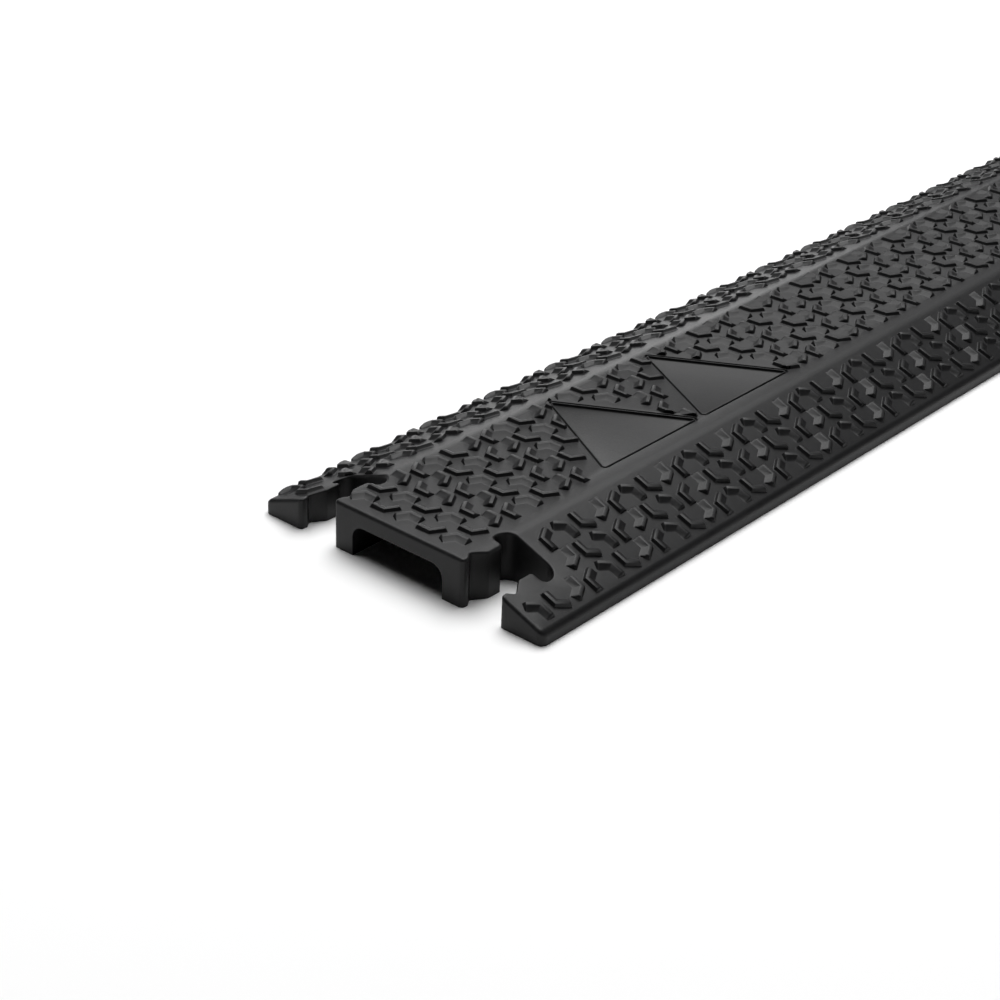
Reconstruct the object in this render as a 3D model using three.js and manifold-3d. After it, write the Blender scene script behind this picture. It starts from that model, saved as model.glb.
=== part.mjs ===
// Floor cord cover: one length of moulded rubber ramp with a cable channel under its flat top.
// Millimetres, +Z up. X runs across the cover, Y along it, and Z = 0 is the floor.
// The origin is at the middle of the overall length and width, on the floor.

import * as THREE from 'three';
import { mergeVertices } from 'three/addons/utils/BufferGeometryUtils.js';
import Module from 'manifold-3d';

// Overall size. The height is taken over the tops of the tread bars.
const overallLength = 1000;
const coverWidth = 130;
const coverHeight = 20;

// Section: a flat top between two straight ramps, each ending in a low upright lip.
const flatTopWidth = 59;
const lipHeight = 5;
const lipRadius = 2;
const creaseRadius = 12;

// Tread fields: one on the flat top and one on each ramp, with smooth rubber at the creases,
// the lips and the ends, and around the slots and the panels.
const treadHeight = 1.4;
const topFieldWidth = 54;
const rampFieldInner = 33.2;
const lipMargin = 2.2;
const fieldEndMargin = 3;
const cutoutMargin = 1;

// Tread bars: two arms at an angle, with a steep outer wall, a level ridge and a long inner
// slope. They stand in rows along the cover that turn their bends right and left in turns.
// These are the main bars, one in four of the real tread.
const barArm = 6.7;
const barTurn = 60;
const barWallRun = 0.5;
const barRidge = 1.3;
const barSlopeRun = 2.1;
const barEndRun = 0.4;
const barRoot = 0.3;
const columnPitch = 21.25;
const rowPitch = 18.7;
const mirrorShift = 9.95;
const topFieldPhase = [3.7, 4.8];
const rightFieldPhase = [14.3, 3.2];
const leftFieldPhase = [-7.15, 6.3];

// Cable channel, open to the floor, with rounded upper corners.
const channelWidth = 42;
const channelHeight = 12.2;
const channelCornerRadius = 5;

// Link slots in the near end: a mouth, a pocket, a neck and a head, seen from above.
const linkOffset = 38.2;
const mouthWidth = 16.2;
const mouthDepth = 3;
const pocketWidth = 20;
const pocketDepth = 5.7;
const neckWidth = 12.6;
const neckDepth = 11.2;
const headWidth = 23.4;
const headDepth = 18.2;
const slotDepth = 26;
const mouthRadius = 1.8;
const pocketRadius = 0.8;
const neckRadius = 1.6;
const lobeRadius = 2.4;
const headRadius = 5;

// Link tabs on the far end: the same outline as the slots, less a running clearance.
const linkClearance = 0.4;
const tabRoot = 8;

// Rounded edges of the end faces, and of the cover's four corners seen from above.
const endEdgeRadius = 1.5;
const planCornerRadius = 2.6;

// Two triangular sign panels sunk into the flat top, each pointing to -X.
const panelSide = 58;
const panelDepth = 1.1;
const panelCornerRadius = 1.5;
const panelGap = 2.3;
const panelStart = 83.8;
const panelOffset = -2.7;

// Fineness of the round stretches, and how far a cutter passes the face it cuts.
const arcSteps = 5;
const edgeSteps = 3;
const overshoot = 5;
const samePoint = 1e-3;

const rubberColour = 0x37383a;

const flatTopHeight = coverHeight - treadHeight;
const tabReach = slotDepth - linkClearance;
const bodyLength = overallLength - tabReach;
const nearEnd = -overallLength / 2;
const bodyEnd = nearEnd + bodyLength;

const wasm = await Module();
wasm.setup();

// Outline through corner points [x, y, radius]; each corner with a radius becomes an arc.
function roundedOutline(corners) {
  const points = corners.flatMap(([x, y, radius], i) => {
    const corner = new THREE.Vector2(x, y);
    if (radius === 0) return [corner];
    const [px, py] = corners[(i + corners.length - 1) % corners.length];
    const [nx, ny] = corners[(i + 1) % corners.length];
    const back = new THREE.Vector2(px, py).sub(corner).normalize();
    const ahead = new THREE.Vector2(nx, ny).sub(corner).normalize();
    return cornerArc(corner, back, ahead, radius);
  });
  const apart = points.filter((point, i) => i === 0 || point.distanceTo(points[i - 1]) > samePoint);
  return new THREE.Shape(apart);
}

// Points of the arc that rounds one corner, between the unit directions to its neighbours.
function cornerArc(corner, back, ahead, radius) {
  const half = Math.acos(THREE.MathUtils.clamp(back.dot(ahead), -1, 1)) / 2;
  const reach = radius / Math.tan(half);
  const middle = back.clone().add(ahead).normalize();
  const centre = corner.clone().addScaledVector(middle, radius / Math.sin(half));
  const start = corner.clone().addScaledVector(back, reach).sub(centre);
  const end = corner.clone().addScaledVector(ahead, reach).sub(centre);
  const turn = Math.atan2(start.cross(end), start.dot(end));
  const origin = new THREE.Vector2();
  return Array.from({ length: arcSteps + 1 }, (_, k) =>
    start.clone().rotateAround(origin, (turn * k) / arcSteps).add(centre));
}

// Closed solid from a geometry, for joining and cutting.
function toSolid(geometry) {
  geometry.deleteAttribute('normal');
  geometry.deleteAttribute('uv');
  const merged = mergeVertices(geometry, 1e-4);
  return new wasm.Manifold(new wasm.Mesh({
    numProp: 3,
    vertProperties: merged.attributes.position.array,
    triVerts: new Uint32Array(merged.index.array),
  }));
}

// Upright prism over a plan outline, from below the floor to above the cover.
function prism(shape, low = -overshoot, high = coverHeight + overshoot) {
  const geometry = new THREE.ExtrudeGeometry(shape, { depth: high - low, bevelEnabled: false });
  geometry.translate(0, 0, low);
  return toSolid(geometry);
}

// Bar along Y with the given section; its ends are rounded over by edgeRadius.
function bar(section, start, end, edgeRadius) {
  const geometry = new THREE.ExtrudeGeometry(section, {
    depth: end - start - 2 * edgeRadius,
    bevelEnabled: edgeRadius > 0,
    bevelThickness: edgeRadius,
    bevelSize: edgeRadius,
    bevelOffset: -edgeRadius,
    bevelSegments: edgeSteps,
  });
  geometry.rotateX(Math.PI / 2);
  geometry.translate(0, end - edgeRadius, 0);
  return toSolid(geometry);
}

// Outer section without the tread. It is carried below the floor, so that the rounded ends stay
// clear of the underside.
function coverSection() {
  const half = coverWidth / 2;
  const top = flatTopWidth / 2;
  return roundedOutline([
    [-half, -overshoot, 0],
    [half, -overshoot, 0],
    [half, lipHeight, lipRadius],
    [top, flatTopHeight, creaseRadius],
    [-top, flatTopHeight, creaseRadius],
    [-half, lipHeight, lipRadius],
  ]);
}

// Channel section, carried below the floor.
function channelSection() {
  const half = channelWidth / 2;
  return roundedOutline([
    [-half, -overshoot, 0],
    [half, -overshoot, 0],
    [half, channelHeight, channelCornerRadius],
    [-half, channelHeight, channelCornerRadius],
  ]);
}

// One side of the link outline, from the end face inwards, as [half width, depth, radius].
// A clearance draws the whole outline inwards: bulging corners tighten and hollow ones widen.
function linkSide(clearance) {
  return [
    [mouthWidth / 2 - clearance, mouthDepth, neckRadius + clearance],
    [pocketWidth / 2 - clearance, pocketDepth, pocketRadius - clearance],
    [neckWidth / 2 - clearance, neckDepth, neckRadius + clearance],
    [neckWidth / 2 - clearance, headDepth + clearance, neckRadius + clearance],
    [headWidth / 2 - clearance, headDepth + clearance, lobeRadius - clearance],
    [headWidth / 2 - clearance, slotDepth - clearance, headRadius - clearance],
  ];
}

// Plan of a rectangle with rounded corners.
function rectanglePlan(left, right, start, end, radius) {
  return roundedOutline([
    [left, start, radius],
    [right, start, radius],
    [right, end, radius],
    [left, end, radius],
  ]);
}

// Plan of one link slot, opening with rounded lips through the near end face.
function slotPlan(centre) {
  const flare = mouthWidth / 2 + mouthRadius;
  const side = [
    [flare, -overshoot, 0],
    [flare, 0, 0],
    [mouthWidth / 2, 0, mouthRadius],
    ...linkSide(0),
  ];
  return mirroredOutline(side, centre, nearEnd);
}

// Plan of one link tab, rooted inside the body.
function tabPlan(centre) {
  const side = [[mouthWidth / 2 - linkClearance, -tabRoot, 0], ...linkSide(linkClearance)];
  return mirroredOutline(side, centre, bodyEnd);
}

// Outline symmetric about a line along the cover, from its [half width, depth, radius] corners.
function mirroredOutline(side, centre, face) {
  const right = side.map(([width, depth, radius]) => [centre + width, face + depth, radius]);
  const left = side.map(([width, depth, radius]) => [centre - width, face + depth, radius]);
  return roundedOutline([...right, ...left.reverse()]);
}

// Plan of one triangular panel whose base runs along the cover from the given place.
function panelPlan(start) {
  const height = (panelSide * Math.sqrt(3)) / 2;
  const base = panelOffset + height / 2;
  return roundedOutline([
    [base, start, panelCornerRadius],
    [base, start + panelSide, panelCornerRadius],
    [base - height, start + panelSide / 2, panelCornerRadius],
  ]);
}

// Stations of one bar, as [outer foot, outer ridge, inner ridge, inner foot] at its start, bend
// and end. The foot is carried down along both walls to the root, below the surface.
function barStations(originU, originY, mirrored) {
  const flip = mirrored ? -1 : 1;
  const turn = THREE.MathUtils.degToRad(barTurn);
  const arms = [new THREE.Vector2(flip, 0), new THREE.Vector2(flip * Math.cos(turn), Math.sin(turn))];
  const sides = arms.map((arm) => new THREE.Vector2(-arm.y, arm.x).multiplyScalar(flip));
  const start = new THREE.Vector2(originU, originY);
  const bend = start.clone().addScaledVector(arms[0], barArm);
  const end = bend.clone().addScaledVector(arms[1], barArm);
  const mitre = sides[0].clone().add(sides[1]).divideScalar(1 + sides[0].dot(sides[1]));
  const sink = barRoot / treadHeight;
  const profile = [
    [-barWallRun * sink, -barRoot],
    [barWallRun, treadHeight],
    [barWallRun + barRidge, treadHeight],
    [barWallRun + barRidge + barSlopeRun * (1 + sink), -barRoot],
  ];
  const station = (spot, side, inwards) => profile.map(([distance, height]) => {
    const run = barEndRun * (height > 0 ? 1 : -sink);
    const place = spot.clone().addScaledVector(side, distance).addScaledVector(inwards, run);
    return new THREE.Vector3(place.x, place.y, height);
  });
  const still = new THREE.Vector2();
  return [
    station(start, sides[0], arms[0]),
    station(bend, mitre, still),
    station(end, sides[1], arms[1].clone().negate()),
  ];
}

// Smallest distance from a place to a closed outline, negative inside it.
function clearance(outline, place) {
  let inside = false;
  let nearest = Infinity;
  outline.forEach((a, i) => {
    const b = outline[(i + 1) % outline.length];
    const along = b.clone().sub(a);
    const share = THREE.MathUtils.clamp(place.clone().sub(a).dot(along) / along.lengthSq(), 0, 1);
    nearest = Math.min(nearest, place.distanceTo(a.clone().addScaledVector(along, share)));
    const passes = (a.y > place.y) !== (b.y > place.y);
    if (passes && place.x < a.x + ((place.y - a.y) * along.x) / along.y) inside = !inside;
  });
  return inside ? -nearest : nearest;
}

// Place in the cover's frame of a place on one face: distance down the face from its crease, or
// from the middle of the flat top, then the place along the cover and the height off the face.
function onFace(side, { x: across, y, z: height }) {
  const angle = side * Math.atan2(flatTopHeight - lipHeight, (coverWidth - flatTopWidth) / 2);
  return new THREE.Vector3(
    (side * flatTopWidth) / 2 + across * Math.cos(angle) + height * Math.sin(angle),
    y,
    flatTopHeight - across * Math.sin(angle) + height * Math.cos(angle),
  );
}

// Stations, in the cover's frame, of the whole bars that fit one tread field.
function fieldBars(side, left, right, phase, cutouts) {
  const rows = Math.ceil(bodyLength / rowPitch);
  const columns = Math.ceil(coverWidth / columnPitch);
  const low = nearEnd + fieldEndMargin;
  const high = bodyEnd - fieldEndMargin;
  const fits = (place) => place.x > left && place.x < right && place.y > low && place.y < high
    && cutouts.every((outline) => clearance(outline, place) > cutoutMargin);
  const bars = [];
  for (let row = 0; row < rows; row++) {
    const mirrored = row % 2 === 1;
    for (let column = -columns; column <= columns; column++) {
      const across = phase[0] + column * columnPitch + (mirrored ? mirrorShift : 0);
      const stations = barStations(across, nearEnd + phase[1] + row * rowPitch, mirrored)
        .map((points) => points.map((point) => onFace(side, point)));
      const rim = [...stations.map((points) => points[0]), ...stations.map((points) => points[3]).reverse()];
      const plan = rim.flatMap((point, i) => {
        const next = rim[(i + 1) % rim.length];
        return [new THREE.Vector2(point.x, point.y), new THREE.Vector2(point.x + next.x, point.y + next.y).divideScalar(2)];
      });
      if (plan.every(fits)) bars.push({ stations, mirrored });
    }
  }
  return bars;
}

// The tread's bars as one solid of separate pieces.
function makeTread() {
  const half = coverWidth / 2;
  const cutouts = [
    slotPlan(-linkOffset), slotPlan(linkOffset), panelPlan(panelPlace(0)), panelPlan(panelPlace(1)),
  ].map((shape) => shape.getPoints());
  const bars = [
    ...fieldBars(0, -topFieldWidth / 2, topFieldWidth / 2, topFieldPhase, cutouts),
    ...fieldBars(1, rampFieldInner, half - lipMargin, rightFieldPhase, cutouts),
    ...fieldBars(-1, lipMargin - half, -rampFieldInner, leftFieldPhase, cutouts),
  ];
  const places = [];
  const corners = [];
  for (const { stations, mirrored } of bars) {
    const first = places.length / 3;
    for (const point of stations.flat()) places.push(point.x, point.y, point.z);
    const quads = [[0, 1, 2, 3], [11, 10, 9, 8]];
    for (const k of [0, 4]) {
      for (let j = 0; j < 4; j++) quads.push([k + j, k + 4 + j, k + 4 + ((j + 1) % 4), k + ((j + 1) % 4)]);
    }
    for (const quad of quads) {
      const [a, b, c, d] = (mirrored ? quad.reverse() : quad).map((corner) => corner + first);
      corners.push(a, b, c, a, c, d);
    }
  }
  return new wasm.Manifold(new wasm.Mesh({
    numProp: 3,
    vertProperties: new Float32Array(places),
    triVerts: new Uint32Array(corners),
  }));
}

// Place along the cover at which a panel's base starts.
function panelPlace(index) {
  return nearEnd + panelStart + index * (panelSide + panelGap);
}

// Body of the cover with its tread bars, before anything is cut from it.
function makeBody() {
  const half = coverWidth / 2;
  const plan = prism(rectanglePlan(-half, half, nearEnd, bodyEnd, planCornerRadius), 0);
  return bar(coverSection(), nearEnd, bodyEnd, endEdgeRadius).intersect(plan).add(makeTread());
}

function makeCover() {
  let cover = makeBody();
  const tabBar = bar(coverSection(), bodyEnd - tabRoot - overshoot, bodyEnd + tabReach, endEdgeRadius);
  for (const centre of [-linkOffset, linkOffset]) {
    cover = cover.subtract(prism(slotPlan(centre)));
    cover = cover.add(tabBar.intersect(prism(tabPlan(centre), 0)));
  }
  cover = cover.subtract(bar(channelSection(), nearEnd - overshoot, bodyEnd + overshoot, 0));
  for (const index of [0, 1]) {
    cover = cover.subtract(prism(panelPlan(panelPlace(index)), flatTopHeight - panelDepth));
  }
  return toMesh(cover, 'cord_cover', rubberColour);
}

// Named mesh of a finished solid.
function toMesh(solid, name, colour) {
  const data = solid.getMesh();
  const geometry = new THREE.BufferGeometry();
  geometry.setAttribute('position', new THREE.Float32BufferAttribute(data.vertProperties, 3));
  geometry.setIndex(Array.from(data.triVerts));
  geometry.computeVertexNormals();
  const material = new THREE.MeshStandardMaterial({ color: colour, roughness: 0.62, metalness: 0 });
  const mesh = new THREE.Mesh(geometry, material);
  mesh.name = name;
  return mesh;
}

const group = new THREE.Group();
group.add(makeCover());

export default group;
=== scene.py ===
"""Floor cord cover, dressed for a studio picture.

One moulded rubber length: a ramped body with a cable channel, link slots and link tabs, two
sunk triangular panels, and a tread of bent bars over the flat top and both ramps.
"""

import logging
import math
from collections.abc import Callable
from dataclasses import dataclass, field
from enum import Enum

import bmesh
import bpy
import numpy as np
from mathutils import Matrix, Vector
from mathutils.geometry import delaunay_2d_cdt


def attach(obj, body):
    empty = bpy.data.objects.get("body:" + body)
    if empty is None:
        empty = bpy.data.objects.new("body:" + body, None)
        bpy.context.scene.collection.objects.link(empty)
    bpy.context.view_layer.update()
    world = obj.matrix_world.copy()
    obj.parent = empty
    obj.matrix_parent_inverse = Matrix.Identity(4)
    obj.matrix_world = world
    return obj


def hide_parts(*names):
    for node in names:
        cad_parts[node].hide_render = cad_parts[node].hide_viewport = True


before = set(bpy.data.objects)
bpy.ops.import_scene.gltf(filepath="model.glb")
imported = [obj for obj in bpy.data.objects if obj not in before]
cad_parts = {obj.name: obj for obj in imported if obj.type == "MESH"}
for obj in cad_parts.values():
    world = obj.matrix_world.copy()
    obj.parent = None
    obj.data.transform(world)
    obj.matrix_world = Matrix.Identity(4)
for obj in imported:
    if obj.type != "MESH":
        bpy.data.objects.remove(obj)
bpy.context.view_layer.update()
LOG = logging.getLogger("cord_cover")
MM = 0.001
BODY = "root"
NODE = "cord_cover"
# Counts of the tread's cells from its zero, wide enough to pass the cover on every side.
CELLS_ACROSS = np.arange(-12, 13)
CELLS_ALONG = np.arange(-2, 29)


@dataclass
class Outline:
    """A closed outline in plan, counter-clockwise, with the edge radius at each of its points.

    Args:
        points: (N, 2) array of places in mm.
        edge: (N,) array of the edge radius at each point, in mm.
    """

    points: np.ndarray
    edge: np.ndarray

    @classmethod
    def rounded(cls, corners: list[tuple[float, float, float, float]], steps: int = 8) -> "Outline":
        """Outline through corners, each turned into an arc.

        Formula: the arc's centre lies on the corner's bisector at radius / sin(half angle), and
        its points turn evenly from one tangent point to the other.

        Args:
            corners: x, y, corner radius and edge radius of each corner, in mm.
            steps: stretches of each arc.

        Returns:
            The outline.
        """
        table = np.array(corners, float)
        spots: list[np.ndarray] = []
        edges: list[np.ndarray] = []
        for i, (x, y, radius, edge) in enumerate(table):
            corner = np.array([x, y])
            if radius <= 0:
                spots.append(corner[None])
                edges.append(np.array([edge]))
                continue
            back = table[i - 1, :2] - corner
            ahead = table[(i + 1) % len(table), :2] - corner
            back = back / np.linalg.norm(back)
            ahead = ahead / np.linalg.norm(ahead)
            half = math.acos(np.clip(back @ ahead, -1, 1)) / 2
            reach = radius / math.tan(half)
            middle = (back + ahead) / np.linalg.norm(back + ahead)
            centre = corner + middle * radius / math.sin(half)
            start = corner + back * reach - centre
            end = corner + ahead * reach - centre
            turn = math.atan2(start[0] * end[1] - start[1] * end[0], start @ end)
            angle = turn * np.linspace(0, 1, steps + 1)
            arc = np.stack([
                start[0] * np.cos(angle) - start[1] * np.sin(angle),
                start[0] * np.sin(angle) + start[1] * np.cos(angle),
            ], 1)
            spots.append(arc + centre)
            edges.append(np.full(steps + 1, edge))
        points = np.concatenate(spots)
        edge_all = np.concatenate(edges)
        gap = np.linalg.norm(points - np.roll(points, 1, 0), axis=1)
        keep = gap > 1e-3
        return cls(points[keep], edge_all[keep])

    def resampled(self, spacing: float, coarse: float = 25.0, side: float = 64.5) -> "Outline":
        """The same outline with long stretches split up.

        Args:
            spacing: longest stretch in mm.
            coarse: longest stretch along the outer sides in mm.
            side: distance from the middle at which a stretch counts as an outer side.

        Returns:
            The finer outline.
        """
        after = np.roll(self.points, -1, 0)
        edge_after = np.roll(self.edge, -1)
        length = np.linalg.norm(after - self.points, axis=1)
        outer = (np.abs(self.points[:, 0]) > side) & (np.abs(after[:, 0]) > side)
        count = np.ceil(length / np.where(outer, coarse, spacing)).astype(int).clip(1)
        index = np.repeat(np.arange(len(count)), count)
        step = np.arange(len(index)) - np.repeat(np.cumsum(count) - count, count)
        part = (step / count[index])[:, None]
        points = self.points[index] * (1 - part) + after[index] * part
        edge = self.edge[index] * (1 - part[:, 0]) + edge_after[index] * part[:, 0]
        return Outline(points, edge)

    def inward(self) -> np.ndarray:
        """Direction from each point into the outline, long enough to keep an offset's distance.

        Formula: the sum of the left normals of the two stretches that meet at the point, over one
        plus their product, so that a step along it moves both stretches by the same distance.

        Returns:
            (N, 2) directions.
        """
        ahead = np.roll(self.points, -1, 0) - self.points
        ahead = ahead / np.linalg.norm(ahead, axis=1)[:, None]
        back = np.roll(ahead, 1, 0)
        left_ahead = np.stack([-ahead[:, 1], ahead[:, 0]], 1)
        left_back = np.stack([-back[:, 1], back[:, 0]], 1)
        both = left_ahead + left_back
        return both / (1 + (left_ahead * left_back).sum(1))[:, None].clip(0.3)

    def inset(self, distance: np.ndarray | float) -> np.ndarray:
        """Points of the outline moved inwards by a distance in mm."""
        return self.points + self.inward() * np.broadcast_to(distance, len(self.points))[:, None]

    def holds(self, spots: np.ndarray) -> np.ndarray:
        """Which spots lie inside, by counting the stretches that a ray towards +X crosses."""
        return inside(self.points, spots)


def inside(loop: np.ndarray, spots: np.ndarray) -> np.ndarray:
    """Which spots lie inside a closed loop, by counting the stretches that a ray crosses.

    Args:
        loop: (N, 2) corner points.
        spots: (M, 2) places to test.

    Returns:
        (M,) array of booleans.
    """
    ax, ay = loop[:, 0][None], loop[:, 1][None]
    bx, by = np.roll(loop[:, 0], -1)[None], np.roll(loop[:, 1], -1)[None]
    x, y = spots[:, 0][:, None], spots[:, 1][:, None]
    spans = (ay > y) != (by > y)
    rise = np.where(by == ay, 1.0, by - ay)
    crossing = ax + (y - ay) * (bx - ax) / rise
    return (spans & (x < crossing)).sum(1) % 2 == 1


def chords(loop: np.ndarray, x: float, short: float = 0.25) -> list[np.ndarray]:
    """Stretches of an upright line that lie inside a closed loop, a little shortened.

    Formula: the line meets each stretch of the loop that passes from one side of it to the
    other, and every second gap between the sorted meetings lies inside.

    Args:
        loop: (N, 2) corner points.
        x: place of the line.
        short: how much is taken off at each end in mm.

    Returns:
        The stretches, (2, 2) each.
    """
    after = np.roll(loop, -1, 0)
    over = (loop[:, 0] > x) != (after[:, 0] > x)
    a, b = loop[over], after[over]
    y = np.sort(a[:, 1] + (x - a[:, 0]) * (b[:, 1] - a[:, 1]) / (b[:, 0] - a[:, 0]))
    pairs = y.reshape(-1, 2)
    return [np.array([[x, low + short], [x, high - short]]) for low, high in pairs if high - low > 4 * short]


@dataclass
class Skin:
    """Vertices and faces of one piece as they are gathered, in mm.

    Args:
        spots: gathered arrays of places.
        faces: gathered lists of corner numbers.
        count: number of gathered places.
    """

    spots: list[np.ndarray] = field(default_factory=list)
    faces: list[list[int]] = field(default_factory=list)
    count: int = 0

    def add(self, spots: np.ndarray) -> int:
        """Adds places and returns the number of the first one."""
        first = self.count
        self.spots.append(np.asarray(spots, float).reshape(-1, 3))
        self.count += len(self.spots[-1])
        return first

    def grid(self, rows: np.ndarray, closed: bool = True) -> int:
        """Adds a grid of quads.

        Args:
            rows: (R, C, 3) places. Seen from outside, rows go up and columns go to the right.
            closed: whether the last column joins the first.

        Returns:
            The number of the first place.
        """
        high, wide = rows.shape[:2]
        first = self.add(rows)
        number = first + np.arange(high * wide).reshape(high, wide)
        right = np.roll(number, -1, 1)
        stop = wide if closed else wide - 1
        quads = np.stack([number[:-1, :stop], right[:-1, :stop], right[1:, :stop], number[1:, :stop]], -1)
        self.faces.extend(quads.reshape(-1, 4).tolist())
        return first

    def mesh(self, name: str, weld: float = 1e-6) -> bpy.types.Mesh:
        """Mesh of what was gathered, in metres, with its doubles merged.

        Args:
            name: name of the mesh.
            weld: distance in metres below which places are merged; 0 leaves them as they are.

        Returns:
            The mesh.
        """
        mesh = bpy.data.meshes.new(name)
        mesh.from_pydata((np.concatenate(self.spots) * MM).tolist(), [], self.faces)
        if weld > 0:
            work = bmesh.new()
            work.from_mesh(mesh)
            bmesh.ops.remove_doubles(work, verts=work.verts, dist=weld)
            work.to_mesh(mesh)
            work.free()
        mesh.validate()
        return mesh


def place(name: str, mesh: bpy.types.Mesh) -> bpy.types.Object:
    """Object at the origin that shows a mesh, in the scene's own collection."""
    piece = bpy.data.objects.new(name, mesh)
    bpy.context.scene.collection.objects.link(piece)
    return piece


class Join(Enum):
    """How one solid acts on another."""

    CUT = "DIFFERENCE"
    KEEP_INSIDE = "INTERSECT"


def combine(piece: bpy.types.Object, other: bpy.types.Object, how: Join) -> None:
    """Cuts or trims a piece with another solid, for good, and removes the other one.

    Args:
        piece: the solid that stays.
        other: the solid that acts on it.
        how: what is done.
    """
    step = piece.modifiers.new("join", "BOOLEAN")
    step.operation = how.value
    step.solver = "MANIFOLD"
    step.object = other
    bpy.context.view_layer.update()
    graph = bpy.context.evaluated_depsgraph_get()
    made = bpy.data.meshes.new_from_object(piece.evaluated_get(graph))
    old = piece.data
    piece.modifiers.clear()
    piece.data = made
    made.name = old.name
    bpy.data.meshes.remove(old)
    bpy.data.objects.remove(other)


def fill(loops: list[np.ndarray], lines: list[np.ndarray],
         keep: Callable[[np.ndarray], np.ndarray]) -> tuple[np.ndarray, np.ndarray]:
    """Triangles over a plan, held to its loops and lines.

    Args:
        loops: closed loops of places, (N, 2) each.
        lines: open lines of places, (N, 2) each.
        keep: function of triangle centres that tells which triangles stay.

    Returns:
        (V, 2) places and (T, 3) corner numbers, counter-clockwise.
    """
    spots: list[np.ndarray] = []
    edges: list[np.ndarray] = []
    count = 0
    for chain, shut in [(loop, True) for loop in loops] + [(line, False) for line in lines]:
        number = count + np.arange(len(chain))
        pair = np.stack([number, np.roll(number, -1)], 1)
        edges.append(pair if shut else pair[:-1])
        spots.append(chain)
        count += len(chain)
    out = delaunay_2d_cdt(
        [Vector(p) for p in np.concatenate(spots).tolist()],
        np.concatenate(edges).tolist(), [], 0, 1e-5, False)
    places = np.array([tuple(v) for v in out[0]])
    corners = np.array(out[2])
    middle = places[corners].mean(1)
    corners = corners[keep(middle)]
    a, b, c = places[corners[:, 0]], places[corners[:, 1]], places[corners[:, 2]]
    turn = (b[:, 0] - a[:, 0]) * (c[:, 1] - a[:, 1]) - (b[:, 1] - a[:, 1]) * (c[:, 0] - a[:, 0])
    corners[turn < 0] = corners[turn < 0][:, ::-1]
    return places, corners


def capped(rings: list[np.ndarray], name: str) -> bpy.types.Object:
    """Solid between two closed rings, with a flat cap on each.

    Args:
        rings: (N, 3) places of each ring in mm.
        name: name of the piece.

    Returns:
        The solid's object.
    """
    skin = Skin()
    first = skin.grid(np.stack(rings))
    count = len(rings[0])
    skin.faces.append(list(range(first + count - 1, first - 1, -1)))
    skin.faces.append(list(range(first + count, first + 2 * count)))
    return place(name, skin.mesh(name, 0))


def prism(outline: np.ndarray, low: float, high: float, name: str) -> bpy.types.Object:
    """Upright solid over a closed plan outline.

    Args:
        outline: (N, 2) places of the outline in mm, counter-clockwise.
        low, high: heights of its floor and its top in mm.
        name: name of the piece.

    Returns:
        The solid's object.
    """
    return capped([np.column_stack([outline, np.full(len(outline), z)]) for z in (low, high)], name)


def crisp(mesh: bpy.types.Mesh, degrees: float) -> None:
    """Shades a mesh smooth, apart from edges that bend more than the given angle."""
    mesh.shade_smooth()
    mesh.set_sharp_from_angle(angle=math.radians(degrees))


@dataclass
class Section:
    """Outer section of the cover: a flat top between two straight ramps.

    Args:
        width: overall width in mm.
        flat_top: width of the flat top between the sharp creases.
        top: height of the flat top.
        lip: height of the sharp outer edge.
        crease: radius that rounds each crease.
    """

    width: float = 130.0
    flat_top: float = 59.0
    top: float = 18.6
    lip: float = 5.0
    crease: float = 12.0

    @property
    def slope(self) -> float:
        """Angle of the ramp in radians."""
        return math.atan2(self.top - self.lip, (self.width - self.flat_top) / 2)

    @property
    def arc_start(self) -> float:
        """Distance from the middle at which each crease's arc starts, in mm."""
        return self.flat_top / 2 - self.crease * math.tan(self.slope / 2)

    def height(self, x: np.ndarray) -> np.ndarray:
        """Height of the surface at a distance across the cover.

        Formula: level to the first tangent point, a circular arc of the crease's radius to the
        second one, and a straight ramp from there.

        Args:
            x: distances from the middle in mm.

        Returns:
            Heights in mm.
        """
        across = np.abs(x)
        start = self.arc_start
        end = start + self.crease * math.sin(self.slope)
        past = (across - start).clip(0, self.crease * 0.99)
        arc = self.top - self.crease + np.sqrt(self.crease**2 - past**2)
        ramp = self.lip + (self.width / 2 - across) * math.tan(self.slope)
        return np.where(across < start, self.top, np.where(across < end, arc, ramp))

    def creases(self, steps: int = 6) -> np.ndarray:
        """Distances across the cover at which the section bends, on both sides."""
        angle = np.linspace(0, self.slope, steps + 1)
        one = self.arc_start + self.crease * np.sin(angle)
        return np.concatenate([-one[::-1], one])


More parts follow.
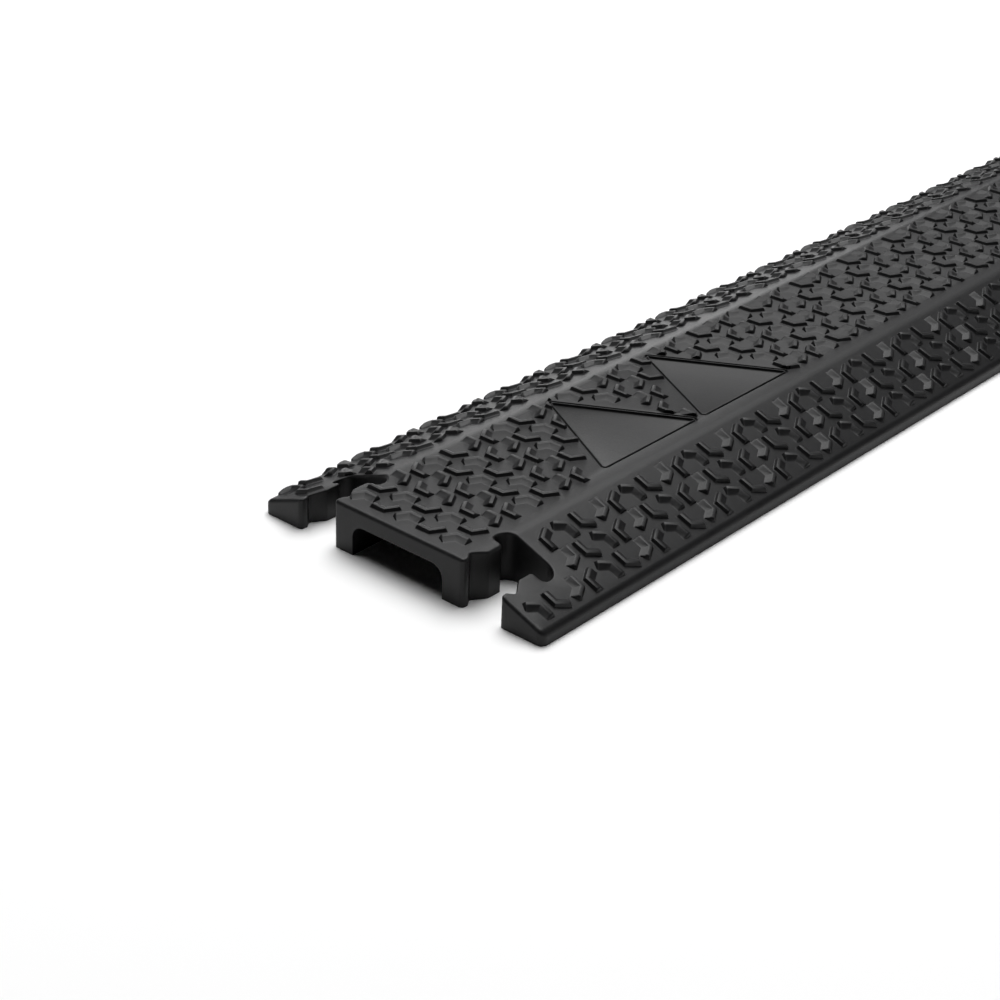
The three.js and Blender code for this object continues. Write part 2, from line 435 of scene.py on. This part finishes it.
@dataclass
class Link:
    """Outline of a link slot or tab, seen from above.

    Args:
        offset: distance of its middle from the cover's middle in mm.
        mouth, pocket, neck, head: widths in mm.
        mouth_depth, pocket_depth, neck_depth, head_depth, depth: distances from the end face.
        mouth_round, pocket_round, neck_round, lobe_round, head_round: corner radii.
        edge: radius of its upper edge.
    """

    offset: float = 38.2
    mouth: float = 16.2
    pocket: float = 20.0
    neck: float = 12.6
    head: float = 23.4
    mouth_depth: float = 3.0
    pocket_depth: float = 5.7
    neck_depth: float = 11.2
    head_depth: float = 18.2
    depth: float = 26.0
    mouth_round: float = 1.8
    pocket_round: float = 1.2
    neck_round: float = 1.6
    lobe_round: float = 2.4
    head_round: float = 5.0
    edge: float = 0.9

    def side(self, clearance: float) -> list[tuple[float, float, float]]:
        """One side of the outline, from the end face inwards.

        Args:
            clearance: how far the outline stays back from the slot's, in mm.

        Returns:
            Half width, depth from the end face and corner radius of each corner.
        """
        return [
            (self.mouth / 2 - clearance, self.mouth_depth, self.neck_round + clearance),
            (self.pocket / 2 - clearance, self.pocket_depth, self.pocket_round - clearance / 2),
            (self.neck / 2 - clearance, self.neck_depth, self.neck_round + clearance),
            (self.neck / 2 - clearance, self.head_depth + clearance, self.neck_round + clearance),
            (self.head / 2 - clearance, self.head_depth + clearance, self.lobe_round - clearance),
            (self.head / 2 - clearance, self.depth - clearance, self.head_round - clearance),
        ]

    def corners(self, first: tuple[float, float, float], clearance: float, centre: float,
                face: float, way: int) -> list[tuple[float, float, float, float]]:
        """Corners of the whole outline, up one side and back down the other.

        Args:
            first: half width, depth and corner radius of its first corner.
            clearance: how far the outline stays back from the slot's, in mm.
            centre: place of its middle across the cover.
            face: place of the end face along the cover.
            way: 1 where it goes up its right side, and -1 where it goes up its left side.

        Returns:
            x, y, corner radius and edge radius of each corner.
        """
        side = [first, *self.side(clearance)]
        path = [(way, corner) for corner in side] + [(-way, corner) for corner in side[::-1]]
        return [(centre + sign * w, face + d, r, self.edge) for sign, (w, d, r) in path]


@dataclass
class Panel:
    """A sunk triangular panel on the flat top, pointing to -X.

    Args:
        start: place of its first sharp corner along the cover in mm.
        side: length of its sides.
        shift: distance of its middle from the cover's middle.
        depth: how far its floor is sunk.
        corner: radius of its corners.
    """

    start: float
    side: float = 58.0
    shift: float = -2.7
    depth: float = 1.1
    corner: float = 1.5

    @property
    def base(self) -> float:
        """Place of its base across the cover in mm."""
        return self.shift + self.side * math.sqrt(3) / 4

    def outline(self) -> Outline:
        """Plan outline of the panel.

        Returns:
            The outline, counter-clockwise.
        """
        tip = self.base - self.side * math.sqrt(3) / 2
        return Outline.rounded([
            (self.base, self.start, self.corner, 0.3),
            (self.base, self.start + self.side, self.corner, 0.3),
            (tip, self.start + self.side / 2, self.corner, 0.3),
        ], 6)

    def beside(self, right: float) -> np.ndarray:
        """Corners of the plain strip between the panel's base and a border, (4, 2) in mm."""
        low, high = self.start - 1.0, self.start + self.side + 1.0
        return np.array([(self.base - 1.0, low), (right, low), (right, high), (self.base - 1.0, high)])


@dataclass
class CoverBody:
    """The moulded body without its tread.

    Args:
        section: outer section.
        link: slot outline, which the tabs follow with a clearance.
        panels: sunk panels.
        near: place of the slotted end face along the cover in mm.
        far: place of the tabbed end face.
        end_edge, side_edge, tab_edge: radii of the upper edges of the end faces, the long sides
            and the tabs.
        side_band: how far in from a long side its edge radius holds.
        plan_corner: radius of the four corners seen from above.
        tab_root: radius between the end face and a tab.
        clearance: gap between a tab and a slot.
        channel: half width, height and corner radius of the cable channel.
        spacing: longest stretch of the plan outline, apart from the long sides.
        edge_steps: stretches of each rounded edge.
        sharp: angle in degrees above which an edge stays sharp.
    """

    section: Section
    link: Link
    panels: list[Panel]
    near: float = -500.0
    far: float = 474.4
    end_edge: float = 1.5
    side_edge: float = 2.0
    tab_edge: float = 0.7
    side_band: float = 0.4
    plan_corner: float = 2.6
    tab_root: float = 0.5
    clearance: float = 0.4
    channel: tuple[float, float, float] = (21.0, 12.2, 5.0)
    spacing: float = 1.0
    edge_steps: int = 5
    sharp: float = 38.0

    def outline(self) -> Outline:
        """Plan outline with the slots cut in and the tabs standing out.

        Formula: the edge radius is set per stretch and then smoothed along the outline with the
        weights 1, 2, 3, 2 and 1 over 9.

        Returns:
            The outline, counter-clockwise.
        """
        half = self.section.width / 2
        link = self.link
        corners: list[tuple[float, float, float, float]] = [
            (-half, self.near, self.plan_corner, self.end_edge),
        ]
        for centre in (-link.offset, link.offset):
            corners += link.corners((link.mouth / 2, 0.0, link.mouth_round), 0, centre, self.near, -1)
        corners += [
            (half, self.near, self.plan_corner, self.end_edge),
            (half, self.far, self.plan_corner, self.end_edge),
        ]
        root = (link.mouth / 2 - self.clearance, 0.0, self.tab_root)
        for centre in (link.offset, -link.offset):
            corners += link.corners(root, self.clearance, centre, self.far, 1)
        corners.append((-half, self.far, self.plan_corner, self.end_edge))
        fine = Outline.rounded(corners).resampled(self.spacing)
        x, y = fine.points.T
        close = 0.05
        ends = (np.abs(y - self.near) < close) | (np.abs(y - self.far) < close)
        edge = np.where(np.abs(x) > half - self.side_band, self.side_edge, fine.edge)
        edge = np.where(ends, self.end_edge, edge)
        edge = np.where(y > self.far + close, self.tab_edge, edge)
        weight = np.array([1, 2, 3, 2, 1], float) / 9
        wrapped = np.concatenate([edge[-2:], edge, edge[:2]])
        return Outline(fine.points, np.convolve(wrapped, weight, "valid"))

    def build(self) -> bpy.types.Object:
        """Builds the body.

        Formula: each point of the plan outline carries a quarter circle of its own edge radius,
        from the upright wall to the surface; the surface is the section's height over the plan.

        Returns:
            The body's object.
        """
        skin = Skin()
        outline = self.outline()
        angle = np.linspace(0, math.pi / 2, self.edge_steps + 1)
        rows = [np.column_stack([outline.points, np.zeros(len(outline.points))])]
        for a in angle:
            spots = outline.inset(outline.edge * (1 - math.cos(a)))
            top = self.section.height(spots[:, 0])
            rows.append(np.column_stack([spots, top - outline.edge * (1 - math.sin(a))]))
        skin.grid(np.stack(rows))
        inner = rows[-1][:, :2]
        lines = [line for x in self.section.creases() for line in chords(inner, x)]
        panel_loops = [self.panel_walls(skin, panel) for panel in self.panels]

        def on_top(spots: np.ndarray) -> np.ndarray:
            """Which spots lie on the outer surface, off the panels."""
            good = inside(inner, spots)
            for loop, _ in panel_loops:
                good &= ~inside(loop, spots)
            return good

        places, corners = fill([inner] + [loop for loop, _ in panel_loops], lines, on_top)
        first = skin.add(np.column_stack([places, self.section.height(places[:, 0])]))
        skin.faces.extend((corners + first).tolist())
        for (_, floor), panel in zip(panel_loops, self.panels):
            places, corners = fill([floor], [], lambda spots, loop=floor: inside(loop, spots))
            level = self.section.top - panel.depth
            first = skin.add(np.column_stack([places, np.full(len(places), level)]))
            skin.faces.extend((corners + first).tolist())
        places, corners = fill([outline.points], [], outline.holds)
        first = skin.add(np.column_stack([places, np.zeros(len(places))]))
        skin.faces.extend((corners[:, ::-1] + first).tolist())
        piece = place("cover_body", skin.mesh("cover_body"))
        combine(piece, self.channel_cutter(), Join.CUT)
        crisp(piece.data, self.sharp)
        return piece

    def panel_walls(self, skin: Skin, panel: Panel) -> tuple[np.ndarray, np.ndarray]:
        """Adds a panel's surround: a narrow groove, a thin rim inside it and the wall down to the floor.

        Args:
            skin: the surface that it is added to.
            panel: the panel.

        Returns:
            The loop on the flat top and the loop on the panel's floor.
        """
        outline = panel.outline()
        depth = panel.depth
        profile = [
            (-0.75, 0.0), (-0.58, -0.05), (-0.47, -0.2), (-0.42, -0.6), (-0.3, -0.7), (0.2, -0.7),
            (0.32, -0.6), (0.38, -0.3), (0.5, -0.1), (0.7, -0.04), (0.85, -0.1), (0.93, -0.3),
            (1.0, 0.2 - depth), (1.08, 0.06 - depth), (1.25, -depth),
        ]
        rows = []
        for distance, drop in profile:
            spots = outline.inset(distance)
            rows.append(np.column_stack([spots, np.full(len(spots), self.section.top + drop)]))
        skin.grid(np.stack(rows)[::-1][:, ::-1])
        return rows[0][:, :2], rows[-1][:, :2]

    def channel_cutter(self) -> bpy.types.Object:
        """Solid that cuts the cable channel: its section carried past both ends and the floor.

        Returns:
            The solid's object.
        """
        half, height, radius = self.channel
        below, past = -4.0, 6.0
        arch = Outline.rounded([
            (-half, below, 0, 0), (half, below, 0, 0), (half, height, radius, 0), (-half, height, radius, 0),
        ], 10).points
        return capped([
            np.column_stack([arch[:, 0], np.full(len(arch), y), arch[:, 1]])
            for y in (self.far + past, self.near - past)
        ], "channel")


@dataclass
class TreadBar:
    """Section of a bent tread bar: a steep wall on its outer side and a long fall on its inner one.

    Args:
        height: how far the bar stands up in mm.
        wall: run of its steep wall.
        ridge: width of its flat top.
        fall: run of its inner slope.
        round: radius of its edges.
        foot: reach of the hollow at its feet.
        end: run of its two end walls.
        root: how far it reaches into the body.
    """

    height: float = 1.4
    wall: float = 0.5
    ridge: float = 1.3
    fall: float = 2.1
    round: float = 0.25
    foot: float = 0.3
    end: float = 0.6
    root: float = 0.4

    def profile(self) -> np.ndarray:
        """Section of the bar.

        Formula: straight stretches between the foot, the two ends of the ridge and the inner
        foot, with three points on the arc that rounds each bend.

        Returns:
            (P, 2) distances from the outer foot and heights in mm.
        """
        h, r, foot = self.height, self.round, self.foot
        lean = math.hypot(self.wall, h)
        out = (self.wall / lean, h / lean)
        fall = math.hypot(self.fall, h)
        down = (self.fall / fall, -h / fall)
        top, slope = self.wall, self.wall + self.ridge
        last = slope + self.fall
        return np.array([
            (-foot, -self.root), (-foot, -0.02), (-0.35 * foot, 0.05),
            (foot * out[0], foot * out[1]),
            (top - r * out[0], h - r * out[1]), (top + 0.2 * r, h - 0.22 * r), (top + r, h),
            (slope - r, h), (slope + 0.1 * r, h - 0.12 * r), (slope + r * down[0], h + r * down[1]),
            (last - foot * down[0], -foot * down[1]), (last + 0.2 * foot, 0.04),
            (last + foot, -0.02), (last + foot, -self.root),
        ])

    def build(self, paths: np.ndarray) -> tuple[np.ndarray, list[list[int]]]:
        """Closed bars along bent paths, all at once.

        Formula: the profile is carried along each path, square to both arms at the bend, and
        drawn down at the two ends over a short rounded stretch.

        Args:
            paths: (B, 3, 2) start, bend and end of each bar, with its inner side on the left.

        Returns:
            (B, S, P, 3) places as distance across, place along and height, and the faces.
        """
        profile = self.profile()
        arm = np.stack([paths[:, 1] - paths[:, 0], paths[:, 2] - paths[:, 1]], 1)
        arm = arm / np.linalg.norm(arm, axis=2)[..., None]
        left = np.stack([-arm[..., 1], arm[..., 0]], -1)
        mitre = (left[:, 0] + left[:, 1]) / (1 + (left[:, 0] * left[:, 1]).sum(1))[:, None]
        r, h, end = self.round, self.height, self.end
        caps = [
            (-0.4 * self.foot, 0.0), (0.0, 0.06), (end * 0.7, 1 - 1.4 * r / h),
            (end + 0.4 * r, 1 - 0.45 * r / h), (end + 1.7 * r, 1.0),
        ]
        stations = [(paths[:, 0] + arm[:, 0] * d, left[:, 0], share) for d, share in caps]
        stations.append((paths[:, 1], mitre, 1.0))
        stations += [(paths[:, 2] - arm[:, 1] * d, left[:, 1], share) for d, share in caps[::-1]]
        rows = []
        for spot, side, share in stations:
            plan = spot[:, None] + side[:, None] * profile[None, :, :1]
            high = np.where(profile[:, 1] > 0, profile[:, 1] * share, profile[:, 1])
            if share == 0.0:
                high = np.full(len(profile), -self.root)
            column = np.broadcast_to(high[None, :, None], (*plan.shape[:2], 1))
            rows.append(np.concatenate([plan, column], -1))
        places = np.stack(rows, 1)
        bars, deep, wide = places.shape[:3]
        number = np.arange(bars * deep * wide).reshape(bars, deep, wide)
        right = np.roll(number, -1, 2)
        quads = np.stack([number[:, :-1], number[:, 1:], right[:, 1:], right[:, :-1]], -1)
        faces = quads.reshape(-1, 4).tolist()
        faces += number[:, 0].tolist()
        faces += number[:, -1, ::-1].tolist()
        return places, faces


@dataclass
class TreadPattern:
    """The tread's repeat: eight bent bars in a cell, in four attitudes.

    Args:
        across: width of the cell in mm, along the surface.
        along: length of the cell.
        shift: step from a bar to its twin in the cell.
        arm: length of each arm.
        bends: place of each bar's bend, and the directions of its two arms in degrees. The
            bar's inner side is on the left of the way from the first arm's tip to the second's.
    """

    across: float = 21.25
    along: float = 37.4
    shift: tuple[float, float] = (-10.6, 9.35)
    arm: float = 6.7
    bends: tuple[tuple[float, float, float, float], ...] = (
        (54.0, 5.1, 180.0, 60.0),
        (50.55, 23.8, 120.0, 0.0),
        (60.7, 11.9, 0.0, 240.0),
        (42.85, 31.2, 300.0, 180.0),
    )

    def paths(self) -> np.ndarray:
        """Outer lines of the bars of one cell, (8, 3, 2) in mm: first tip, bend and second tip."""
        table = np.array(self.bends)
        bend, angle = table[:, :2], np.radians(table[:, 2:])
        tips = bend[:, None] + self.arm * np.stack([np.cos(angle), np.sin(angle)], -1)
        base = np.stack([tips[:, 0], bend, tips[:, 1]], 1)
        return np.concatenate([base, base + np.array(self.shift)])


@dataclass
class TreadField:
    """One field of the tread, on the flat top or on a ramp.

    Args:
        name: name of the piece.
        left, right: its sides across the cover in mm.
        side: -1 or 1 on a ramp, and 0 on the flat top.
        phase: place of the pattern's zero across and along the surface.
        body: the body that carries it.
        bar: section of its bars.
        pattern: its repeat.
        reach: how far a bar may pass the left border, where it is cut off, in mm.
        margin: plain stretch at both ends.
        trim: distance from both ends at which the bars are cut off.
        lap: how far a bar's foot may pass the borders.
        slot_gap: plain stretch around the slots.
        panel_gap: plain stretch around the panels.
        sharp: angle in degrees above which an edge stays sharp.
    """

    name: str
    left: float
    right: float
    side: int
    phase: tuple[float, float]
    body: CoverBody
    bar: TreadBar
    pattern: TreadPattern
    reach: float = 0.0
    margin: float = 1.0
    trim: float = 0.5
    lap: float = 0.3
    slot_gap: float = 1.3
    panel_gap: float = 1.0
    sharp: float = 29.0

    def surface(self, places: np.ndarray) -> np.ndarray:
        """Places over the field.

        Formula: the surface passes through the sharp crease of its side, or the middle of the
        flat top, and runs on at the ramp's angle, with the height square to it.

        Args:
            places: distance across the surface, place along the cover and height, in mm.

        Returns:
            Places in the cover's frame.
        """
        section = self.body.section
        angle = section.slope * self.side
        u, y, h = places[..., 0], places[..., 1], places[..., 2]
        x = section.flat_top / 2 * self.side + u * math.cos(angle) + h * math.sin(angle)
        z = section.top - u * math.sin(angle) + h * math.cos(angle)
        return np.stack([x, y, z], -1)

    def lines(self) -> np.ndarray:
        """Outer lines of the bars between the field's borders.

        Formula: the repeat is laid out over the whole cover, and a bar stays where all three
        places of its outer line are between the borders, less the reach on the left. A bar goes
        where too many of five places along that line are inside a slot's or panel's surround.

        Returns:
            (B, 3, 2) first tip, bend and second tip in mm.
        """
        section = self.body.section
        crease = section.flat_top / 2 * self.side
        low, high = (np.array([self.left, self.right]) - crease) / math.cos(section.slope * self.side)
        base = self.pattern.paths() + np.array(self.phase)
        i, j = np.meshgrid(CELLS_ACROSS, CELLS_ALONG, indexing="ij")
        step = np.stack([i * self.pattern.across, j * self.pattern.along], -1).reshape(-1, 1, 1, 2)
        every = (base[None] + step).reshape(-1, 3, 2)
        near, far = self.body.near + self.margin, self.body.far - self.margin
        good = (every[..., 0] > low - self.reach) & (every[..., 0] < high)
        good &= (every[..., 1] > near) & (every[..., 1] < far)
        every = every[good.all(1)]
        probes = np.concatenate([every, (every[:, :-1] + every[:, 1:]) / 2], 1)
        plan = self.surface(np.concatenate([probes, np.zeros((*probes.shape[:2], 1))], -1))[..., :2]
        hidden = [inside(loop, plan.reshape(-1, 2)).reshape(-1, 5) for loop in self.holes()]
        too_many = 3 if self.side == 0 else 2
        return every[np.any(hidden, axis=0).sum(1) < too_many]

    def region(self) -> bpy.types.Object:
        """Upright solid over the field's plan, with room left around the slots and the panels.

        Returns:
            The solid's object.
        """
        body = self.body
        low, high = body.near + self.trim, body.far - self.trim
        left, right = self.left - self.lap, self.right + self.lap
        floor, ceiling, past, corner = 1.0, 24.0, 1.0, 1.0
        plan = Outline.rounded([
            (x, y, corner, 0) for x, y in ((left, low), (right, low), (right, high), (left, high))
        ], 3)
        solid = prism(plan.points, floor, ceiling, self.name + "_region")
        for loop in self.holes():
            combine(solid, prism(loop, floor - past, ceiling + past, "hole"), Join.CUT)
        return solid

    def holes(self) -> list[np.ndarray]:
        """Plans of what the bars keep clear of: the slots, and on the flat top the panels."""
        body = self.body
        loops = [self.slot_hole(centre) for centre in (-body.link.offset, body.link.offset)]
        for panel in body.panels if self.side == 0 else []:
            loops += [panel.outline().inset(-self.panel_gap), panel.beside(self.right + 1.0)]
        return loops

    def slot_hole(self, centre: float) -> np.ndarray:
        """Plan of a slot with the plain stretch around it.

        Args:
            centre: place of the slot's middle across the cover in mm.

        Returns:
            (N, 2) places in mm.
        """
        link, before = self.body.link, -3.0
        corners = link.corners((link.mouth / 2, before, 0.0), 0, centre, self.body.near, 1)
        return Outline.rounded(corners, 5).inset(-self.slot_gap)

    def build(self) -> bpy.types.Object:
        """Builds the field's bars and trims them to its plan.

        Returns:
            The field's object.
        """
        places, faces = self.bar.build(self.lines())
        spots = self.surface(places).reshape(-1, 3)
        mesh = bpy.data.meshes.new(self.name)
        mesh.from_pydata((spots * MM).tolist(), [], faces)
        piece = place(self.name, mesh)
        combine(piece, self.region(), Join.KEEP_INSIDE)
        crisp(piece.data, self.sharp)
        return piece


class Wire:
    """A number socket that Python's operators build Math nodes on.

    Args:
        shader: the shader that holds the node.
        socket: the socket.
    """

    def __init__(self, shader: "Shader", socket: bpy.types.NodeSocket) -> None:
        """Wraps a socket of a shader."""
        self.shader = shader
        self.socket = socket

    def _math(self, kind: str, *values: "Wire | float") -> "Wire":
        """A Math node of a kind on wires and numbers."""
        plain = [v.socket if isinstance(v, Wire) else v for v in values]
        return self.shader.add("ShaderNodeMath", {"operation": kind}, dict(enumerate(plain)))

    def __add__(self, other: "Wire | float") -> "Wire":
        """Sum."""
        return self._math("ADD", self, other)

    def __sub__(self, other: "Wire | float") -> "Wire":
        """Difference."""
        return self._math("SUBTRACT", self, other)

    def __mul__(self, other: "Wire | float") -> "Wire":
        """Product."""
        return self._math("MULTIPLY", self, other)

    def clamp(self) -> "Wire":
        """The value held between 0 and 1."""
        return self._math("MINIMUM", self._math("MAXIMUM", self, 0.0), 1.0)


class Shader:
    """Builder of one material's nodes.

    Args:
        name: name of the material.
    """

    def __init__(self, name: str) -> None:
        """Starts an empty material."""
        self.material = bpy.data.materials.new(name)
        self.material.use_nodes = True
        self.tree = self.material.node_tree
        self.tree.nodes.clear()
        self.output = self.tree.nodes.new("ShaderNodeOutputMaterial")

    def add(self, kind: str, settings: dict | None = None, inputs: dict | None = None,
            out: int | str = 0) -> Wire:
        """Adds a node.

        Args:
            kind: the node's type.
            settings: its settings.
            inputs: values or wires for its sockets, by name or number.
            out: the output that is handed back.

        Returns:
            The output as a wire.
        """
        node = self.tree.nodes.new(kind)
        for key, value in (settings or {}).items():
            setattr(node, key, value)
        for key, value in (inputs or {}).items():
            value = value.socket if isinstance(value, Wire) else value
            if isinstance(value, bpy.types.NodeSocket):
                self.tree.links.new(value, node.inputs[key])
            else:
                node.inputs[key].default_value = value
        return Wire(self, node.outputs[out])

    def finish(self, surface: Wire) -> bpy.types.Material:
        """Joins the surface to the output."""
        self.tree.links.new(surface.socket, self.output.inputs["Surface"])
        return self.material


@dataclass(frozen=True)
class RubberFinish:
    """Matt black moulded rubber.

    Args:
        name: name of the material.
        colour: its base colour.
        pale: the paler tone of its dust.
        roughness: its middle roughness.
        specular: strength of its sheen.
        dust: share of pale dust in the colour.
        grain: height of the fine grain, in mm.
        ripple: height of the coarser unevenness, in mm.
        cloud_scale, mottle_scale, speck_scale: repeats per metre of the slow, middle and fine
            noises.
    """

    name: str = "moulded_black_rubber"
    colour: tuple[float, float, float] = (0.0062, 0.0062, 0.0066)
    pale: tuple[float, float, float] = (0.021, 0.021, 0.022)
    roughness: float = 0.43
    specular: float = 0.25
    dust: float = 0.35
    grain: float = 0.02
    ripple: float = 0.05
    cloud_scale: float = 38.0
    mottle_scale: float = 260.0
    speck_scale: float = 1500.0

    def material(self) -> bpy.types.Material:
        """Builds the material.

        Formula: the colour goes from the base to a paler tone with a slow, a middle and a fine
        noise; the roughness follows the slow and the fine one; the bump is the grain's height
        times the fine noise plus the ripple's height times the middle one.

        Returns:
            The material.
        """
        shader = Shader(self.name)
        where = shader.add("ShaderNodeTexCoord", out="Object")
        cloud = shader.add("ShaderNodeTexNoise", None, {
            "Vector": where, "Scale": self.cloud_scale, "Detail": 3.0, "Roughness": 0.6}, "Fac")
        speck = shader.add("ShaderNodeTexNoise", None, {
            "Vector": where, "Scale": self.speck_scale, "Detail": 2.0, "Roughness": 0.6}, "Fac")
        mottle = shader.add("ShaderNodeTexNoise", None, {
            "Vector": where, "Scale": self.mottle_scale, "Detail": 3.0, "Roughness": 0.6}, "Fac")
        pale = ((cloud - 0.35) * 1.2 * self.dust + (speck - 0.5) * 0.35 + (mottle - 0.5) * 0.2 + 0.1).clamp()
        tone = shader.add("ShaderNodeMix", {"data_type": "RGBA"}, {
            "Factor": pale, 6: (*self.colour, 1.0), 7: (*self.pale, 1.0)}, 2)
        rough = ((cloud - 0.5) * 0.12 + (speck - 0.5) * 0.2 + self.roughness).clamp()
        height = speck * self.grain + mottle * self.ripple
        bump = shader.add("ShaderNodeBump", None, {
            "Strength": 1.0, "Distance": MM, "Height": height}, "Normal")
        surface = shader.add("ShaderNodeBsdfPrincipled", None, {
            "Base Color": tone, "Roughness": rough, "Normal": bump,
            "Specular IOR Level": self.specular})
        return shader.finish(surface)


@dataclass(frozen=True)
class FloorFinish:
    """Plain pale studio floor.

    Args:
        name: name of the material.
        grey: its tone.
        roughness: its roughness.
        specular: strength of its sheen.
    """

    name: str = "pale_floor"
    grey: float = 0.93
    roughness: float = 0.9
    specular: float = 0.1

    def material(self) -> bpy.types.Material:
        """Builds the material: an even matt tone."""
        shader = Shader(self.name)
        surface = shader.add("ShaderNodeBsdfPrincipled", None, {
            "Base Color": (self.grey, self.grey, self.grey, 1.0), "Roughness": self.roughness,
            "Specular IOR Level": self.specular})
        return shader.finish(surface)


@dataclass
class Studio:
    """Floor, lights and camera.

    Args:
        stand: where the camera stands, in m.
        right, up, back: its axes.
        lens: focal length over a 36 mm sensor.
        shift: shift of the picture's middle.
        bright_side: where the sky is brightest.
        sky_span: share of that direction at which the sky is dimmest and brightest.
        dim, bright: strength of the sky there.
    """

    stand: tuple[float, float, float] = (0.41518, -0.9446, 0.36031)
    right: tuple[float, float, float] = (0.73783, 0.67467, 0.02058)
    up: tuple[float, float, float] = (-0.33385, 0.33827, 0.87984)
    back: tuple[float, float, float] = (0.58664, -0.65604, 0.47483)
    lens: float = 74.45
    shift: tuple[float, float] = (0.0634, -0.0053)
    bright_side: tuple[float, float, float] = (-0.25, 0.95, 0.2)
    sky_span: tuple[float, float] = (-0.35, 0.85)
    dim: float = 0.05
    bright: float = 1.6

    def camera(self) -> None:
        """Sets up the camera at the photograph's viewing angle."""
        lens = bpy.data.cameras.new("camera")
        lens.lens = self.lens
        lens.sensor_width = 36.0
        lens.sensor_fit = "HORIZONTAL"
        lens.shift_x, lens.shift_y = self.shift
        lens.clip_start = 0.01
        view = bpy.data.objects.new("camera", lens)
        columns = Matrix([self.right, self.up, self.back]).transposed().to_4x4()
        columns.translation = Vector(self.stand)
        view.matrix_world = columns
        bpy.context.scene.collection.objects.link(view)
        bpy.context.scene.camera = view

    def floor(self, finish: FloorFinish) -> None:
        """Lays the floor as a wide flat grid under the cover.

        Args:
            finish: its finish.
        """
        steps = np.linspace(-6, 6, 13)
        x, y = np.meshgrid(steps, steps, indexing="xy")
        skin = Skin()
        skin.grid(np.stack([x, y, np.zeros_like(x)], -1) / MM, closed=False)
        floor = place("floor", skin.mesh("floor", 0))
        floor.data.materials.append(finish.material())

    def lamp(self, name: str, where: tuple[float, float, float], aim: tuple[float, float, float],
             size: float, power: float) -> None:
        """Hangs a soft square lamp that looks at a place.

        Args:
            name: its name.
            where: where it hangs, in m.
            aim: what it looks at.
            size: its side in m.
            power: its power in W.
        """
        light = bpy.data.lights.new(name, "AREA")
        light.size = size
        light.energy = power
        lamp = bpy.data.objects.new(name, light)
        lamp.location = where
        lamp.rotation_euler = (Vector(aim) - Vector(where)).to_track_quat("-Z", "Y").to_euler()
        bpy.context.scene.collection.objects.link(lamp)

    def lights(self) -> None:
        """Lights the scene: a sky that is bright behind, two lamps behind on the left and one overhead."""
        world = bpy.data.worlds.new("sky")
        world.use_nodes = True
        tree = world.node_tree
        back = tree.nodes["Background"]
        where = tree.nodes.new("ShaderNodeTexCoord")
        facing = tree.nodes.new("ShaderNodeVectorMath")
        facing.operation = "DOT_PRODUCT"
        facing.inputs[1].default_value = self.bright_side
        tree.links.new(where.outputs["Generated"], facing.inputs[0])
        ramp = tree.nodes.new("ShaderNodeMapRange")
        ramp.interpolation_type = "SMOOTHSTEP"
        low, high = self.sky_span
        span = {"From Min": low, "From Max": high, "To Min": self.dim, "To Max": self.bright}
        for key, value in span.items():
            ramp.inputs[key].default_value = value
        tree.links.new(facing.outputs["Value"], ramp.inputs["Value"])
        tree.links.new(ramp.outputs["Result"], back.inputs["Strength"])
        bpy.context.scene.world = world
        self.lamp("high_left", (-1.2, 1.3, 1.5), (0, -0.35, 0), 1.6, 5.0)
        self.lamp("low_left", (-1.9, 1.6, 0.42), (0, -0.35, 0), 0.8, 5.5)
        self.lamp("overhead", (-0.6, 0.3, 2.4), (0, -0.3, 0), 2.4, 99.0)
        bpy.context.scene.view_settings.view_transform = "Standard"


def dress(piece: bpy.types.Object, material: bpy.types.Material) -> None:
    """Gives a piece its finish and its body, and hides the imported part that it stands for.

    Args:
        piece: the piece.
        material: its finish.
    """
    mesh = piece.data
    mesh.materials.clear()
    mesh.materials.append(material)
    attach(piece, BODY)
    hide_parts(NODE)
    mesh.calc_loop_triangles()
    LOG.info("%s: %d triangles", piece.name, len(mesh.loop_triangles))


def main() -> None:
    """Builds the cover, its tread and the studio."""
    logging.basicConfig(level=logging.INFO, format="%(message)s")
    studio = Studio()
    studio.camera()
    studio.lights()
    studio.floor(FloorFinish())

    rubber = RubberFinish().material()
    body = CoverBody(Section(), Link(), [Panel(-416.2), Panel(-355.9)])
    dress(body.build(), rubber)

    pattern, bar = TreadPattern(), TreadBar()
    fields = [
        TreadField("tread_top", -29.0, 29.0, 0, (-1.1, -500.3), body, bar, pattern),
        TreadField("tread_right", 31.4, 64.0, 1, (-33.0, -501.9), body, bar, pattern),
        TreadField("tread_left", -64.0, -31.4, -1, (9.3, -498.8), body, bar, pattern, 9.0),
    ]
    for tread in fields:
        dress(tread.build(), rubber)


if __name__ == "__main__":
    main()
